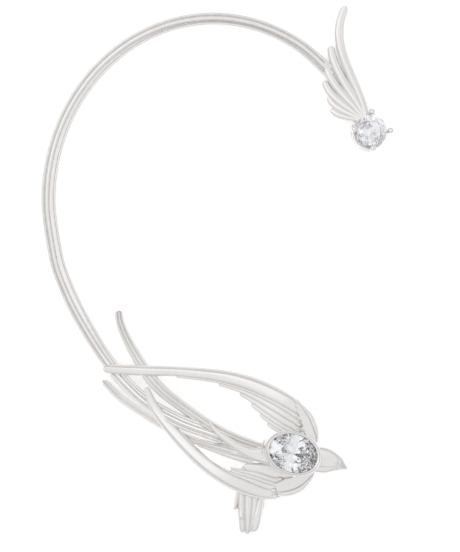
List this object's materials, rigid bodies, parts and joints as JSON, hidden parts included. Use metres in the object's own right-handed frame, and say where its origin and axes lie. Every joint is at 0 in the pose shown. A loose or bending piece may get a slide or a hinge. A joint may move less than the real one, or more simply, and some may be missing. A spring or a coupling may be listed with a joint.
{
  "type": "ear cuff",
  "caption": "Open hook of three wires round the back of the ear, with a flying bird and oval stone at the lobe, a fan of feathers with a round stone at the top, and a lobe clip.",
  "frame": {"origin": "middle of the cuff's footprint, on the surface that it lies on", "axes": "+X to the wearer's face, +Y up the ear, +Z away from the head, out of the front of the jewel"},
  "size_m": [0.0442, 0.0662, 0.0105],
  "materials": {
    "metal": "white metal, satin feathers and polished wires",
    "stone": "clear, cut and polished"
  },
  "bodies": {
    "root": {"cuff_frame": "metal", "lobe_clip": "metal", "oval_stone": "stone", "round_stone": "stone"}
  },
  "joints": []
}
